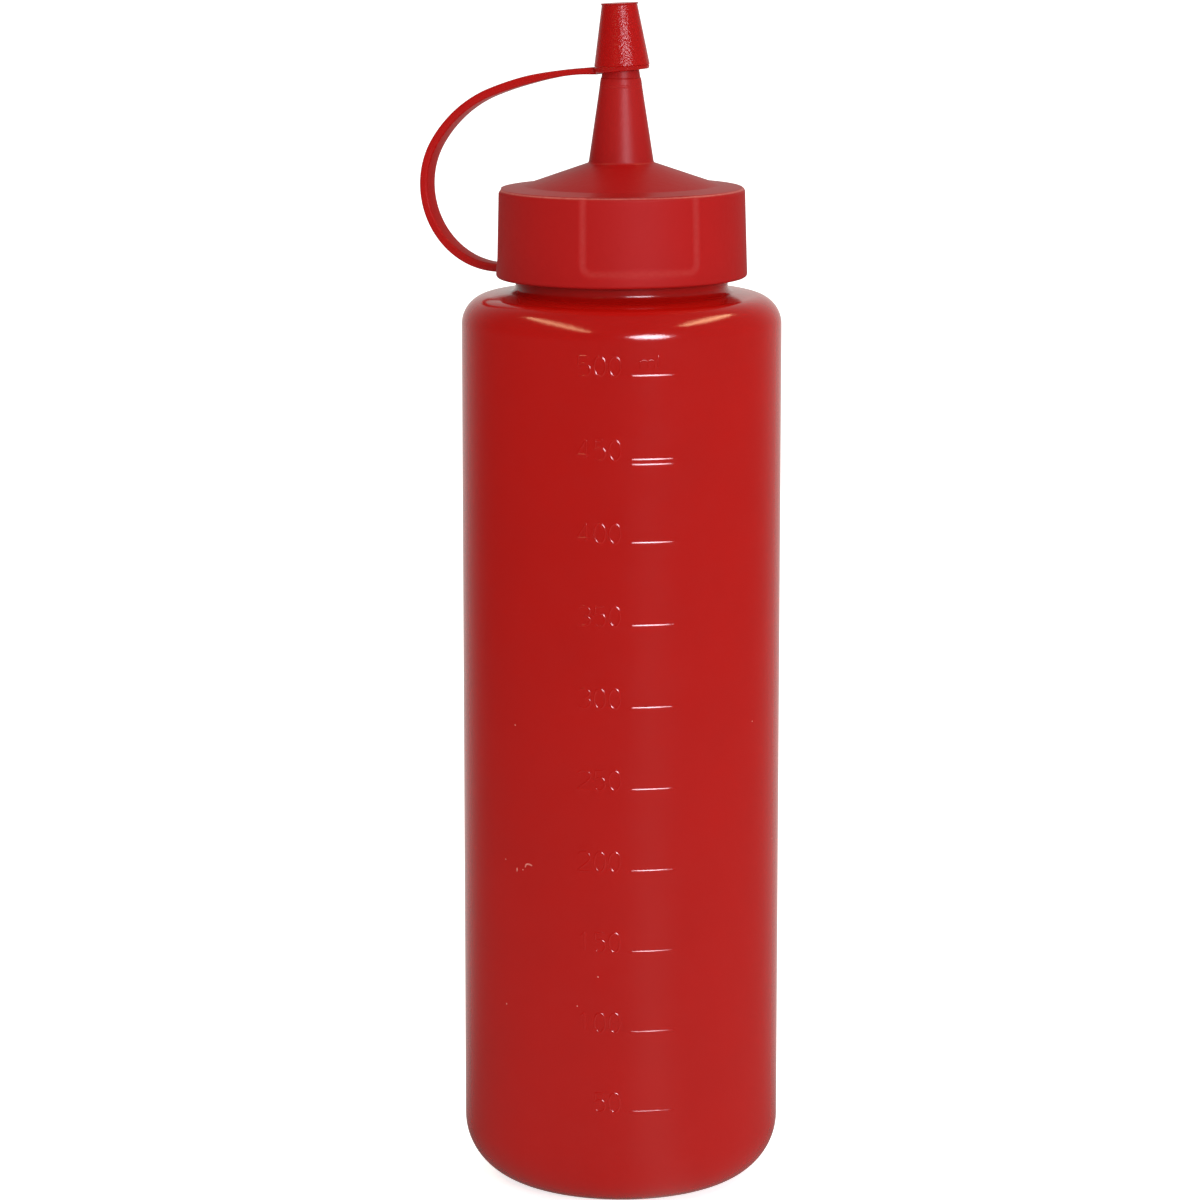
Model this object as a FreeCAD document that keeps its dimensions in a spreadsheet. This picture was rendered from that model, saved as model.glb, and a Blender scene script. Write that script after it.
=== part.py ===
"""Squeeze bottle with a nozzle cap and a tethered tip cap, in millimetres.

The origin is the middle of the base, +Z runs up the axis and -Y is the front,
where the graduation lines are. The bottle is shut and opaque, so it is solid.
"""
import FreeCAD, Part
import math
import os
import re
import Sketcher

Vector = FreeCAD.Vector

DIMENSIONS = (
    # the bottle
    ("body_radius", 32.0),          # outside of the straight wall
    ("body_height", 180.9),         # where the wall line meets the shoulder line
    ("base_round", 12.5),           # rounding from the base into the wall
    ("shoulder_round", 5.9),        # rounding from the wall into the shoulder
    ("shoulder_slope", 7.1),        # degrees that the shoulder rises inwards
    ("neck_radius", 21.2),
    ("neck_fillet", 1.5),           # hollow between shoulder and neck
    ("wall_thickness", 0.85),       # of the moulded wall, which sets the volume scale
    # the graduation lines, one for each step of volume
    ("step_volume", 50.0),          # millilitres
    ("scale_zero", 5.0),            # height at which the straight scale would read nothing
    ("scale_margin", 4.0),          # kept free above the top line
    ("line_height", 0.5),
    ("line_relief", 0.25),          # how far a line stands proud
    ("line_length", 9.9),
    ("line_centre", 10.9),          # degrees to the right of the front
    # the screw cap
    ("skirt_gap", 2.85),            # from the foot of the neck to the skirt
    ("thread_clearance", 0.3),
    ("head_clearance", 0.35),       # between the neck's rim and the roof of the cap
    ("skirt_wall", 3.6),
    ("skirt_height", 17.7),
    ("skirt_draft", 1.5),           # degrees
    ("skirt_foot_round", 0.6),
    ("rim_round", 0.9),
    ("rim_width", 5.25),            # flat ring round the cone
    ("rim_rise", 0.6),
    ("roof_thickness", 3.0),
    ("cone_height", 4.45),
    ("cone_fillet", 0.6),
    ("nozzle_radius", 6.5),         # where it leaves the cone
    ("nozzle_taper", 8.5),          # degrees on each side
    ("nozzle_length", 28.7),
    ("cap_tilt", 0.3),              # degrees that the screwed-on cap leans to the strap
    ("strap_turn", 24.4),           # degrees that the strap points behind the left
    # the three finger recesses in the skirt
    ("grip_count", 3.0),
    ("grip_angle", 54.0),           # degrees that each one spans
    ("grip_turn", 9.0),             # degrees from the front to the middle of the first
    ("grip_depth", 0.4),
    ("grip_foot", 3.3),             # height of the skirt left below a recess
    # the tip cap and its strap
    ("tip_fit", 0.1),               # clearance on the nozzle
    ("tip_wall", 1.65),
    ("tip_height", 12.35),          # from the collar to the top
    ("tip_head", 2.8),              # from the nozzle's end to the top
    ("tip_lean", 2.3),              # degrees, against the nozzle
    ("collar_height", 1.05),
    ("collar_proud", 0.15),         # beyond the foot of the tip cap
    ("collar_lean", 5.7),           # degrees, against the nozzle
    ("lip_height", 0.3),
    ("lip_width", 0.2),
    ("strap_width", 4.1),
    ("strap_thickness", 1.7),
    ("strap_edge_round", 0.45),
    ("strap_seat_gap", 0.04),       # between the strap's foot and the skirt
    ("strap_lead", 1.8),            # straight part beside the skirt
    ("strap_sink", 1.0),            # how deep the raw strap starts inside its seats
    ("strap_mid_radius", 26.3),
    ("strap_low_sweep", 123.0),     # degrees
    ("strap_mid_sweep", 35.8),
    ("strap_top_sweep", 19.7),
)

FORMULAS = (
    ("shoulder_rise", "(body_radius - neck_radius) * tan(shoulder_slope)"),
    ("neck_foot", "body_height + shoulder_rise"),
    ("inner_radius", "body_radius - wall_thickness"),
    ("line_step", "step_volume * 1000 / (pi * inner_radius * inner_radius)"),
    ("line_first", "scale_zero + line_step"),
    ("line_room", "body_height - shoulder_round - scale_margin - line_first"),
    ("line_count", "floor(line_room / line_step) + 1"),
    ("line_angle", "line_length / body_radius * 180 / pi"),
    ("cap_foot", "neck_foot + skirt_gap"),
    ("socket_radius", "neck_radius + thread_clearance"),
    ("socket_depth", "skirt_height - roof_thickness"),
    ("neck_top", "cap_foot + socket_depth - head_clearance"),
    ("skirt_radius", "socket_radius + skirt_wall"),
    ("skirt_top_radius", "skirt_radius - skirt_height * tan(skirt_draft)"),
    ("cone_radius", "skirt_top_radius - rim_width"),
    ("cone_foot", "skirt_height + rim_rise"),
    ("nozzle_foot", "cone_foot + cone_height"),
    ("nozzle_end", "nozzle_foot + nozzle_length"),
    ("nozzle_end_radius", "nozzle_radius - nozzle_length * tan(nozzle_taper)"),
    ("tip_top", "nozzle_end + tip_head"),
    ("tip_middle", "tip_top - tip_height / 2"),
    ("collar_top", "tip_top - tip_height"),
    ("collar_middle", "collar_top - collar_height / 2"),
    ("nozzle_radius_at_collar", "nozzle_radius - (collar_top - nozzle_foot) * tan(nozzle_taper)"),
    ("tip_foot_radius", "nozzle_radius_at_collar + tip_fit + tip_wall"),
    ("tip_top_radius", "tip_foot_radius - tip_height * tan(nozzle_taper)"),
    ("shell_height", "tip_top - collar_middle"),
    ("shell_foot_radius", "tip_foot_radius + collar_height / 2 * tan(nozzle_taper)"),
    ("collar_radius", "tip_foot_radius + collar_proud"),
    ("strap_foot", "strap_thickness / 2"),
    ("strap_end_x", "collar_radius - strap_sink"),
    ("strap_end_z", "collar_middle - collar_radius * sin(collar_lean)"),
    ("grip_middle", "90 + strap_turn + grip_turn"),
)

NAMES = "|".join(name for name, _ in sorted(DIMENSIONS + FORMULAS, key=lambda row: -len(row[0])))
DRIVING = {name for name, _ in DIMENSIONS}
CUT_REACH = 5.0                     # how far a cutting tool runs past what it cuts


def full(text):
    """Write the sheet's name before each size in an expression."""
    def prefix(match):
        sheet_name = "Dimensions" if match.group(0) in DRIVING else "Worked"
        return sheet_name + "." + match.group(0)
    return re.sub(r"\b(" + NAMES + r")\b", prefix, str(text))


def make_sheets(doc):
    driving = doc.addObject("Spreadsheet::Sheet", "Dimensions")
    for row, (name, value) in enumerate(DIMENSIONS, 1):
        driving.set(f"A{row}", name)
        driving.set(f"B{row}", str(value))
        driving.setAlias(f"B{row}", name)
    worked = doc.addObject("Spreadsheet::Sheet", "Worked")
    for row, (name, formula) in enumerate(FORMULAS, 1):
        worked.set(f"A{row}", name)
        worked.set(f"B{row}", "=" + full(formula))
        worked.setAlias(f"B{row}", name)
    doc.recompute()


def number(doc, text):
    """The present value of an expression."""
    return float(doc.getObject("Worked").evalExpression(full(text)))


def bind(thing, **sizes):
    """Tie properties to expressions; a double underscore stands for a dot."""
    for name, text in sizes.items():
        thing.setExpression(name.replace("__", "."), full(text))


def origin_item(body, role):
    return next(item for item in body.Origin.OriginFeatures if item.Role == role)


def new_sketch(body, name, plane="XZ_Plane"):
    sketch = body.newObject("Sketcher::SketchObject", name)
    sketch.AttachmentSupport = [(origin_item(body, plane), "")]
    sketch.MapMode = "FlatFace"
    return sketch


def hold(sketch, name, text, constraint):
    """Add a constraint and tie its value to an expression."""
    index = sketch.addConstraint(constraint)
    sketch.renameConstraint(index, name)
    sketch.setExpression("Constraints." + name, full(text))


def draw_profile(doc, sketch, corners):
    """Draw a closed outline through corners (x, z) or (x, z, radius of its rounding)."""
    points = [Vector(number(doc, corner[0]), number(doc, corner[1]), 0) for corner in corners]
    radii = [number(doc, corner[2]) if len(corner) > 2 else 0.0 for corner in corners]
    starts, ends, arcs = [], [], {}
    for index, point in enumerate(points):
        before = (points[index - 1] - point).normalize()
        after = (points[(index + 1) % len(points)] - point).normalize()
        if radii[index] == 0.0:
            ends.append(point)
            starts.append(point)
            continue
        half = before.getAngle(after) / 2
        reach = radii[index] / math.tan(half)
        toward = (before + after).normalize()
        centre = point + toward * math.hypot(reach, radii[index])
        middle = centre - toward * radii[index]
        ends.append(point + before * reach)
        starts.append(point + after * reach)
        arcs[index] = Part.Arc(ends[-1], middle, starts[-1])
    count = len(points)
    lines = []
    for index in range(count):
        segment = Part.LineSegment(starts[index], ends[(index + 1) % count])
        lines.append(sketch.addGeometry(segment, False))
    for index, corner in enumerate(corners):
        line_in, line_out = lines[index - 1], lines[index]
        if index in arcs:
            arc = sketch.addGeometry(arcs[index], False)
            spot = sketch.addGeometry(Part.Point(points[index]), True)
            arc_start = sketch.getPoint(arc, 1)
            first = 1 if arc_start.distanceToPoint(ends[index]) < 1e-6 else 2
            sketch.addConstraint(Sketcher.Constraint("Tangent", line_in, 2, arc, first))
            sketch.addConstraint(Sketcher.Constraint("Tangent", line_out, 1, arc, 3 - first))
            sketch.addConstraint(Sketcher.Constraint("PointOnObject", spot, 1, line_in))
            sketch.addConstraint(Sketcher.Constraint("PointOnObject", spot, 1, line_out))
            rounding = Sketcher.Constraint("Radius", arc, radii[index])
            hold(sketch, f"round{index}", corner[2], rounding)
            anchor, anchor_end = spot, 1
        else:
            sketch.addConstraint(Sketcher.Constraint("Coincident", line_in, 2, line_out, 1))
            anchor, anchor_end = line_out, 1
        across = Sketcher.Constraint("DistanceX", -1, 1, anchor, anchor_end, points[index].x)
        along = Sketcher.Constraint("DistanceY", -1, 1, anchor, anchor_end, points[index].y)
        hold(sketch, f"x{index}", corner[0], across)
        hold(sketch, f"z{index}", corner[1], along)


def turn_profile(doc, body, name, corners, kind="PartDesign::Revolution"):
    """Turn an outline all the way round the body's upright axis."""
    sketch = new_sketch(body, name + "_outline")
    draw_profile(doc, sketch, corners)
    doc.recompute()
    feature = body.newObject(kind, name)
    feature.Profile = sketch
    feature.ReferenceAxis = (origin_item(body, "Z_Axis"), [""])
    feature.Angle = 360.0
    doc.recompute()
    return feature


def turn_part_way(doc, body, name, corners, middle, angle, kind):
    """Turn an outline through part of a turn, centred on the direction given by middle."""
    sketch = new_sketch(body, name + "_outline")
    draw_profile(doc, sketch, corners)
    sketch.AttachmentOffset = FreeCAD.Placement(Vector(), FreeCAD.Rotation(Vector(0, 1, 0), 1))
    bind(sketch, AttachmentOffset__Rotation__Angle=middle)
    doc.recompute()
    feature = body.newObject(kind, name)
    feature.Profile = sketch
    feature.ReferenceAxis = (origin_item(body, "Z_Axis"), [""])
    feature.Midplane = True
    bind(feature, Angle=angle)
    doc.recompute()
    return feature


def make_bottle(doc):
    """The filled and shut bottle, with a raised line for each step of volume."""
    body = doc.addObject("PartDesign::Body", "bottle")
    turn_profile(doc, body, "bottle_wall", (
        ("0", "0"),
        ("body_radius", "0", "base_round"),
        ("body_radius", "body_height", "shoulder_round"),
        ("neck_radius", "neck_foot", "neck_fillet"),
        ("neck_radius", "neck_top"),
        ("0", "neck_top"),
    ))
    inside = "body_radius - line_relief"
    line = turn_part_way(doc, body, "volume_line", (
        (inside, "line_first - line_height / 2"),
        ("body_radius + line_relief", "line_first - line_height / 2"),
        ("body_radius + line_relief", "line_first + line_height / 2"),
        (inside, "line_first + line_height / 2"),
    ), "line_centre - 90", "line_angle", "PartDesign::Revolution")
    lines = body.newObject("PartDesign::LinearPattern", "volume_lines")
    lines.Originals = [line]
    lines.Direction = (origin_item(body, "Z_Axis"), [""])
    bind(lines, Length="line_step * (line_count - 1)", Occurrences="line_count")
    body.Tip = lines
    doc.recompute()
    return body


CLOSURE_PLACE = (
    "placement(vector(0; 0; cap_foot); rotationz(180 - strap_turn) * rotationy(cap_tilt))"
)
TIP_PLACE = CLOSURE_PLACE + " * placement(vector(0; 0; tip_middle); rotationy(tip_lean))"
COLLAR_PLACE = TIP_PLACE + (
    " * placement(vector(0; 0; collar_middle - tip_middle); rotationy(collar_lean - tip_lean))"
)


def make_screw_cap(doc):
    """Skirt, ringed roof, cone and nozzle in one moulding, over the neck of the bottle."""
    body = doc.addObject("PartDesign::Body", "screw_cap")
    turn_profile(doc, body, "cap_shell", (
        ("socket_radius", "0"),
        ("skirt_radius", "0", "skirt_foot_round"),
        ("skirt_top_radius", "skirt_height", "rim_round"),
        ("cone_radius", "cone_foot"),
        ("nozzle_radius", "nozzle_foot", "cone_fillet"),
        ("nozzle_end_radius", "nozzle_end"),
        ("0", "nozzle_end"),
        ("0", "socket_depth"),
        ("socket_radius", "socket_depth"),
    ))
    floor = "skirt_radius - grip_depth"
    above = f"skirt_height + {CUT_REACH}"
    slope = "tan(skirt_draft)"
    grip = turn_part_way(doc, body, "grip_recess", (
        (f"{floor} - grip_foot * {slope}", "grip_foot"),
        (f"skirt_radius + {CUT_REACH}", "grip_foot"),
        (f"skirt_radius + {CUT_REACH}", above),
        (f"{floor} - ({above}) * {slope}", above),
    ), "grip_middle", "grip_angle", "PartDesign::Groove")
    grips = body.newObject("PartDesign::PolarPattern", "grip_recesses")
    grips.Originals = [grip]
    grips.Axis = (origin_item(body, "Z_Axis"), [""])
    grips.Angle = 360.0
    bind(grips, Occurrences="grip_count")
    body.Tip = grips
    bind(body, Placement=CLOSURE_PLACE)
    doc.recompute()
    return body


def arc_from(start, heading, radius, sweep):
    """An arc that leaves start at a heading and turns left, with its end and end heading."""
    rotation = FreeCAD.Rotation(Vector(0, 0, 1), heading)
    centre = start + rotation.multVec(Vector(0, radius, 0))
    spots = []
    for part in (0.5, 1.0):
        turned = FreeCAD.Rotation(Vector(0, 0, 1), sweep * part)
        spots.append(centre + turned.multVec(start - centre))
    return Part.Arc(start, spots[0], spots[1]), spots[1], heading + sweep


def strap_radii(doc, sweeps, mid_radius, travel):
    """Radii of the low and top bends that carry the strap through the given travel."""
    unit = []
    heading = 0.0
    for sweep in sweeps:
        _, end, heading = arc_from(Vector(), heading, 1.0, sweep)
        unit.append(end)
    rest = travel - unit[1] * mid_radius
    base = unit[0].x * unit[2].y - unit[0].y * unit[2].x
    low = (rest.x * unit[2].y - rest.y * unit[2].x) / base
    top = (unit[0].x * rest.y - unit[0].y * rest.x) / base
    return low, top


def make_strap(doc):
    """The strap: a straight lead beside the skirt, then three bends up to the collar."""
    body = doc.addObject("PartDesign::Body", "strap")
    path = new_sketch(body, "strap_path")
    start = Vector(number(doc, "skirt_radius - strap_sink"), number(doc, "strap_foot"), 0)
    corner = Vector(number(doc, "skirt_radius + strap_lead"), start.y, 0)
    finish = Vector(number(doc, "strap_end_x"), number(doc, "strap_end_z"), 0)
    sweep_names = ("strap_low_sweep", "strap_mid_sweep", "strap_top_sweep")
    sweeps = [number(doc, name) for name in sweep_names]
    mid_radius = number(doc, "strap_mid_radius")
    low, top = strap_radii(doc, sweeps, mid_radius, finish - corner)
    pieces = [path.addGeometry(Part.LineSegment(start, corner), False)]
    spot, heading = corner, 0.0
    for radius, sweep in zip((low, mid_radius, top), sweeps):
        arc, spot, heading = arc_from(spot, heading, radius, sweep)
        pieces.append(path.addGeometry(arc, False))
    path.addConstraint(Sketcher.Constraint("Horizontal", pieces[0]))
    path.addConstraint(Sketcher.Constraint("Tangent", pieces[0], 2, pieces[1], 1))
    path.addConstraint(Sketcher.Constraint("Tangent", pieces[1], 2, pieces[2], 1))
    path.addConstraint(Sketcher.Constraint("Tangent", pieces[2], 2, pieces[3], 1))
    for name, text, constraint in (
        ("start_x", "skirt_radius - strap_sink", ("DistanceX", -1, 1, pieces[0], 1, start.x)),
        ("start_z", "strap_foot", ("DistanceY", -1, 1, pieces[0], 1, start.y)),
        ("corner_x", "skirt_radius + strap_lead", ("DistanceX", -1, 1, pieces[0], 2, corner.x)),
        ("mid_radius", "strap_mid_radius", ("Radius", pieces[2], mid_radius)),
        ("end_x", "strap_end_x", ("DistanceX", -1, 1, pieces[3], 2, finish.x)),
        ("end_z", "strap_end_z", ("DistanceY", -1, 1, pieces[3], 2, finish.y)),
    ):
        hold(path, name, text, Sketcher.Constraint(*constraint))
    for piece, name, sweep in zip(pieces[1:], sweep_names, sweeps):
        hold(path, name, name + " * 1deg", Sketcher.Constraint("Angle", piece, math.radians(sweep)))
    doc.recompute()
    section = new_sketch(body, "strap_section", "YZ_Plane")
    half_width, half_thickness = "strap_width / 2", "strap_thickness / 2"
    draw_profile(doc, section, (
        (f"-{half_width}", f"strap_foot - {half_thickness}", "strap_edge_round"),
        (half_width, f"strap_foot - {half_thickness}", "strap_edge_round"),
        (half_width, f"strap_foot + {half_thickness}", "strap_edge_round"),
        (f"-{half_width}", f"strap_foot + {half_thickness}", "strap_edge_round"),
    ))
    bind(section, AttachmentOffset__Base__z="skirt_radius - strap_sink")
    doc.recompute()
    ribbon = body.newObject("PartDesign::AdditivePipe", "strap_ribbon")
    ribbon.Profile = section
    ribbon.Spine = (path, ["Edge1", "Edge2", "Edge3", "Edge4"])
    doc.recompute()
    bind(body, Placement=CLOSURE_PLACE)
    doc.recompute()
    return body


def closure_piece(doc, kind, name, place, foot, **sizes):
    """A primitive on the axis of a place, with its foot at a height there."""
    piece = doc.addObject(kind, name)
    raised = f"placement(vector(0; 0; {foot}); rotationy(0))"
    bind(piece, Placement=f"{place} * {raised}", **sizes)
    return piece


def make_tip_cap(doc, strap):
    """Tip cap, collar and strap in one moulding: it covers the nozzle and meets the skirt."""
    collar = closure_piece(
        doc, "Part::Cylinder", "collar", COLLAR_PLACE, "-collar_height / 2",
        Radius="collar_radius", Height="collar_height")
    shell = closure_piece(
        doc, "Part::Cone", "shell", TIP_PLACE, "collar_middle - tip_middle",
        Radius1="shell_foot_radius", Radius2="tip_top_radius", Height="shell_height")
    lip = closure_piece(
        doc, "Part::Cone", "lip", TIP_PLACE, "tip_height / 2 - lip_height",
        Radius1="tip_top_radius + lip_width / 2", Radius2="tip_top_radius + lip_width",
        Height="lip_height")
    whole = doc.addObject("Part::MultiFuse", "tip_cap_whole")
    whole.Shapes = [strap, collar, shell, lip]
    bore = closure_piece(
        doc, "Part::Cone", "nozzle_bore", CLOSURE_PLACE, "nozzle_foot",
        Radius1="nozzle_radius + tip_fit", Radius2="nozzle_end_radius + tip_fit",
        Height="nozzle_length + tip_fit")
    seat = closure_piece(
        doc, "Part::Cone", "skirt_seat", CLOSURE_PLACE, "0",
        Radius1="skirt_radius + strap_seat_gap",
        Radius2="skirt_top_radius + strap_seat_gap",
        Height="skirt_height")
    tools = doc.addObject("Part::MultiFuse", "tip_cap_cuts")
    tools.Shapes = [bore, seat]
    tip_cap = doc.addObject("Part::Cut", "tip_cap")
    tip_cap.Base = whole
    tip_cap.Tool = tools
    doc.recompute()
    return tip_cap


def check(doc, sub_parts):
    """Stop unless every object is sound and every sub-part is one valid solid."""
    for item in doc.Objects:
        if "Invalid" in item.State or "Error" in item.State:
            raise RuntimeError(f"{item.Label} failed: {item.State}")
    for sub_part in sub_parts:
        shape = sub_part.Shape
        if shape.isNull() or not shape.isValid() or len(shape.Solids) != 1:
            raise RuntimeError(f"{sub_part.Label} isn't one valid solid")
        print(f"{sub_part.Label}: {shape.Volume / 1000:.3f} ml")


def main():
    doc = FreeCAD.newDocument("squeeze_bottle")
    make_sheets(doc)
    bottle = make_bottle(doc)
    screw_cap = make_screw_cap(doc)
    tip_cap = make_tip_cap(doc, make_strap(doc))
    sub_parts = (bottle, screw_cap, tip_cap)
    check(doc, sub_parts)
    os.makedirs("parts", exist_ok=True)
    for sub_part in sub_parts:
        sub_part.Shape.exportStep(f"parts/{sub_part.Label}.step")


main()
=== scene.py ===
"""Looks of the squeeze bottle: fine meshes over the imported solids, their plastics, light and camera.

Lengths are in millimetres until a mesh is made, and the frame is the one of the solids: the origin is
the middle of the base, +Z runs up the axis and -Y is the front.
"""
import math

import bpy
import numpy as np
from mathutils import Matrix, Vector


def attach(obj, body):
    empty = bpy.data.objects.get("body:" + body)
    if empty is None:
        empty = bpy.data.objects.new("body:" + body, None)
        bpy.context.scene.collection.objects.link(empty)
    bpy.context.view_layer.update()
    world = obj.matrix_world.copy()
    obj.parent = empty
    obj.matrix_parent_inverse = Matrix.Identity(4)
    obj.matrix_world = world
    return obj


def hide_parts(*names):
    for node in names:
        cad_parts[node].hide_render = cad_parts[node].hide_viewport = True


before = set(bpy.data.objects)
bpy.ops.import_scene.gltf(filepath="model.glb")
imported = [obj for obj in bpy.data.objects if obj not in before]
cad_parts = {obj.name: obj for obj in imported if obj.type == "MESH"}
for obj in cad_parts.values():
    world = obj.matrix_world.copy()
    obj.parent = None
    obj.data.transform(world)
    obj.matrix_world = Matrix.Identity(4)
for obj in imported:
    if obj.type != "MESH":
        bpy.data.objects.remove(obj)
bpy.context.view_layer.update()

MM = 0.001
# attribute of how pale each point is painted: rubbing, and a painted highlight on the rim and the nicks
WEAR_AND_HIGHLIGHT = "wear_and_highlight"

# ---------------------------------------------------------------- sizes of the object, as in its solids
BODY_RADIUS = 32.0
BODY_WALL = 0.85
BODY_HEIGHT = 180.9
BASE_ROUND = 12.5
SHOULDER_ROUND = 5.9
SHOULDER_SLOPE = 7.1
NECK_RADIUS = 21.2
NECK_FILLET = 1.5
NECK_FOOT = BODY_HEIGHT + (BODY_RADIUS - NECK_RADIUS) * math.tan(math.radians(SHOULDER_SLOPE))
CAP_FOOT = NECK_FOOT + 2.85
SOCKET_RADIUS = NECK_RADIUS + 0.3
SOCKET_DEPTH = 14.7
NECK_TOP = CAP_FOOT + SOCKET_DEPTH - 0.35
SKIRT_RADIUS = SOCKET_RADIUS + 3.6
SKIRT_HEIGHT = 17.7
SKIRT_SLOPE = math.tan(math.radians(1.5))
SKIRT_TOP_RADIUS = SKIRT_RADIUS - SKIRT_HEIGHT * SKIRT_SLOPE
RIM_ROUND = 0.9
CONE_RADIUS = SKIRT_TOP_RADIUS - 5.25
CONE_FOOT = SKIRT_HEIGHT + 0.6
NOZZLE_FOOT = CONE_FOOT + 4.45
NOZZLE_RADIUS = 6.5
NOZZLE_SLOPE = math.tan(math.radians(8.5))
NOZZLE_LENGTH = 28.7
NOZZLE_END = NOZZLE_FOOT + NOZZLE_LENGTH
CAP_TILT = 0.3
STRAP_TURN = 24.4
TIP_FIT = 0.1
TIP_HEIGHT = 12.35
TIP_TOP = NOZZLE_END + 2.8
TIP_MIDDLE = TIP_TOP - TIP_HEIGHT / 2
COLLAR_TOP = TIP_TOP - TIP_HEIGHT
TIP_FOOT_RADIUS = NOZZLE_RADIUS - (COLLAR_TOP - NOZZLE_FOOT) * NOZZLE_SLOPE + TIP_FIT + 1.65
TIP_LEAN = 2.3
COLLAR_LEAN = 5.7
COLLAR_HEIGHT = 1.05

CAP_PLACE = (Matrix.Translation((0.0, 0.0, CAP_FOOT))
             @ Matrix.Rotation(math.radians(180.0 - STRAP_TURN), 4, "Z")
             @ Matrix.Rotation(math.radians(CAP_TILT), 4, "Y"))
TIP_PLACE = (CAP_PLACE @ Matrix.Translation((0.0, 0.0, TIP_MIDDLE))
             @ Matrix.Rotation(math.radians(TIP_LEAN), 4, "Y"))


# ---------------------------------------------------------------- mesh helpers
# a sharp corner's rounding; a point stands beside each bend, by a length or by a share of a short side
SHARP_ROUND = 0.04
HOLD_LENGTH = 0.12
HOLD_SHARE = 0.3


def rounded(corners, arc_step=9.0):
    """Points (r, z) of an open outline through corners (r, z[, rounding])."""
    spots = [np.array(corner[:2], dtype=float) for corner in corners]
    line = []
    for index, corner in enumerate(corners):
        spot = spots[index]
        if index in (0, len(corners) - 1):
            line.append(spot)
            continue
        radius = corner[2] if len(corner) > 2 else 0.0
        back, ahead = spots[index - 1] - spot, spots[index + 1] - spot
        back_length, ahead_length = np.linalg.norm(back), np.linalg.norm(ahead)
        back, ahead = back / back_length, ahead / ahead_length
        if radius == 0.0:
            radius = SHARP_ROUND
        half = math.acos(max(-1.0, min(1.0, float(back @ ahead)))) / 2
        reach = radius / math.tan(half)
        centre = spot + (back + ahead) / np.linalg.norm(back + ahead) * math.hypot(reach, radius)
        first, last = spot + back * reach, spot + ahead * reach
        start = math.atan2(*(first - centre)[::-1])
        turn = math.atan2(*(last - centre)[::-1]) - start
        turn = (turn + math.pi) % (2 * math.pi) - math.pi
        steps = max(3, int(abs(math.degrees(turn)) / arc_step))
        line.append(first + back * min(HOLD_LENGTH, HOLD_SHARE * (back_length - reach)))
        for step in range(steps + 1):
            angle = start + turn * step / steps
            line.append(centre + radius * np.array((math.cos(angle), math.sin(angle))))
        line.append(last + ahead * min(HOLD_LENGTH, HOLD_SHARE * (ahead_length - reach)))
    return line


def filled(line, longest):
    """The outline with its long runs divided."""
    out = [line[0]]
    for before, after in zip(line, line[1:]):
        parts = max(1, math.ceil(np.linalg.norm(after - before) / longest))
        out.extend(before + (after - before) * part / parts for part in range(1, parts + 1))
    return out


def add_mesh(name, points, faces, place=None, wear_and_highlight=None):
    """A smooth mesh object from points in millimetres, moved by a placement.

    wear_and_highlight holds how pale each point is, for the material: rubbing, and on some pieces a painted
    highlight.
    """
    points = np.asarray(points, dtype=float)
    if place is not None:
        matrix = np.array(place)
        points = points @ matrix[:3, :3].T + matrix[:3, 3]
    mesh = bpy.data.meshes.new(name)
    mesh.from_pydata((points * MM).tolist(), [], faces)
    mesh.validate()
    mesh.shade_smooth()
    if wear_and_highlight is not None:
        kept = mesh.attributes.new(WEAR_AND_HIGHLIGHT, "FLOAT", "POINT")
        kept.data.foreach_set("value", np.asarray(wear_and_highlight, dtype=float))
    piece = bpy.data.objects.new(name, mesh)
    bpy.context.scene.collection.objects.link(piece)
    return piece


def lathe(name, line, azimuths, place=None, reshape=None, wear_and_highlight=None):
    """Turn an outline that starts and ends on the axis.

    reshape(r, z, azimuth) gives the points' new r and z, and wear_and_highlight(r, z, azimuth) how pale they
    are, for rubbing and for painted highlights.
    """
    azimuths = np.radians(np.asarray(azimuths))
    inner = line[1:-1]
    radius = np.array([spot[0] for spot in inner])[:, None] * np.ones(len(azimuths))
    height = np.array([spot[1] for spot in inner])[:, None] * np.ones(len(azimuths))
    around = azimuths[None, :] * np.ones((len(inner), 1))
    rub_and_highlight = None if wear_and_highlight is None else [0.0, *wear_and_highlight(radius, height, around).ravel(), 0.0]
    if reshape is not None:
        radius, height = reshape(radius, height, around)
    grid = np.stack((radius * np.cos(around), radius * np.sin(around), height), axis=-1)
    points = [(0.0, 0.0, line[0][1])] + grid.reshape(-1, 3).tolist() + [(0.0, 0.0, line[-1][1])]
    count = len(azimuths)
    faces = []
    for column in range(count):
        after = (column + 1) % count
        faces.append((0, 1 + after, 1 + column))
        for row in range(len(inner) - 1):
            low, high = 1 + row * count, 1 + (row + 1) * count
            faces.append((low + column, low + after, high + after, high + column))
        top = 1 + (len(inner) - 1) * count
        faces.append((top + column, top + after, len(points) - 1))
    return add_mesh(name, points, faces, place, rub_and_highlight)


def even(count):
    """Degrees of a count of azimuths, evenly spaced."""
    return np.arange(count) * 360.0 / count


def ease(value):
    """A smooth step from 0 to 1."""
    value = np.clip(value, 0.0, 1.0)
    return value * value * (3.0 - 2.0 * value)


# ---------------------------------------------------------------- the bottle
def make_bottle():
    """Body, shoulder and neck."""
    line = filled(rounded((
        (0.0, 0.0),
        (BODY_RADIUS, 0.0, BASE_ROUND),
        (BODY_RADIUS, BODY_HEIGHT, SHOULDER_ROUND),
        (NECK_RADIUS, NECK_FOOT, NECK_FILLET),
        (NECK_RADIUS, NECK_TOP),
        (0.0, NECK_TOP),
    ), arc_step=4.0), 6.0)
    return lathe("bottle_shell", line, even(256))


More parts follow.
